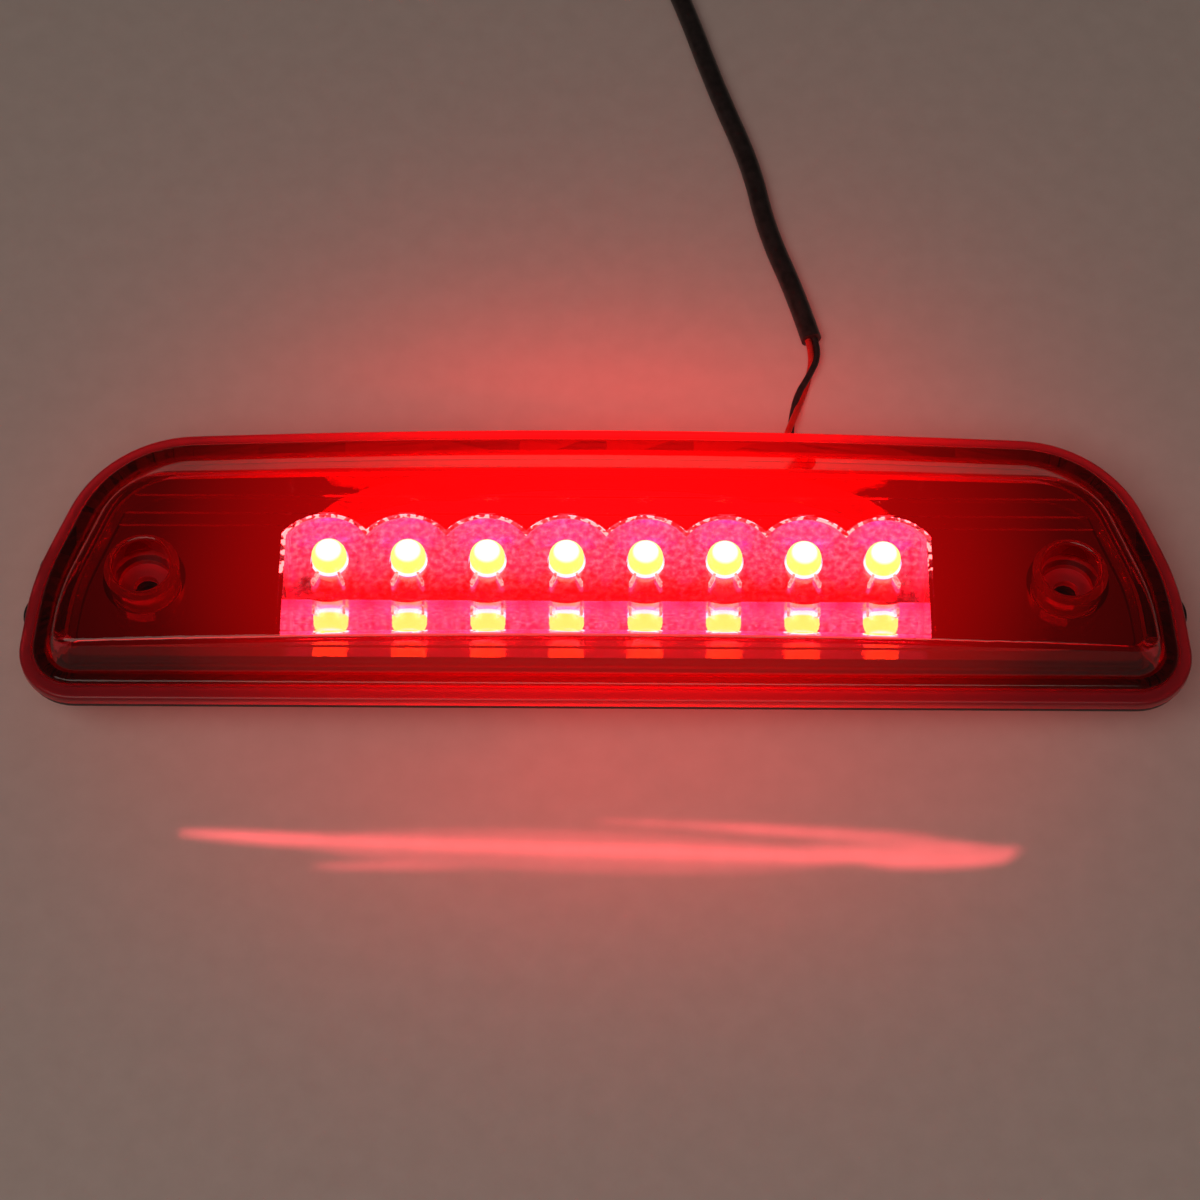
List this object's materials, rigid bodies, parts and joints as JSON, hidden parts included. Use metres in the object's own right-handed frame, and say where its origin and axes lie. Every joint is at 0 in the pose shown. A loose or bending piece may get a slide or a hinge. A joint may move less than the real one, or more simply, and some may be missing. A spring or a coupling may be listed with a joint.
{
  "type": "high-mount third brake light",
  "caption": "Slim lamp for the back of a pickup cab: a red stepped lens over a metallised LED reflector, a black rear housing and a short sleeved lead.",
  "frame": {"origin": "under the middle of the lamp's outline, on the rear face of the housing", "axes": "+X along the lamp's width, +Y up on the vehicle, +Z out of the lens"},
  "size_m": [0.2611, 0.2824, 0.034],
  "materials": {
    "lens_red": "clear red moulded acrylic, polished",
    "reflector_metallised": "vacuum metallised plastic",
    "led_epoxy": "lit epoxy lamp body",
    "solder_tin": "tinned",
    "board_green": "solder mask",
    "screw_zinc": "zinc plated",
    "resistor_black": "ceramic chip",
    "diode_black": "moulded epoxy",
    "housing_black": "moulded, lightly grained",
    "rubber_black": "moulded rubber",
    "foam_black": "closed-cell foam",
    "sealant_grey": "cured bead",
    "wire_red": "soft insulation",
    "wire_black": "soft insulation",
    "sleeve_black": "soft tubing, semi-gloss",
    "connector_black": "moulded nylon",
    "seal_silicone": "silicone",
    "terminal_tin": "tinned brass"
  },
  "bodies": {
    "root": {"lens": "lens_red", "lens_seal": "sealant_grey", "well_seal_left": "rubber_black", "well_seal_right": "rubber_black", "reflector": "reflector_metallised", "led_1": "led_epoxy", "led_2": "led_epoxy", "led_3": "led_epoxy", "led_4": "led_epoxy", "led_5": "led_epoxy", "led_6": "led_epoxy", "led_7": "led_epoxy", "led_8": "led_epoxy", "led_pins": "solder_tin", "led_board": "board_green", "board_screws": "screw_zinc", "resistors": "resistor_black", "protection_diode": "diode_black", "rear_housing": "housing_black", "reflector_screws": "screw_zinc", "breather_plug": "rubber_black", "mounting_gasket": "foam_black", "wire_grommet": "rubber_black", "inner_wire_red": "wire_red", "inner_wire_black": "wire_black", "lead_wire_red": "wire_red", "lead_wire_black": "wire_black", "lead_sleeve": "sleeve_black", "connector_seal": "seal_silicone", "connector_shell": "connector_black", "connector_terminals": "terminal_tin"}
  },
  "joints": []
}
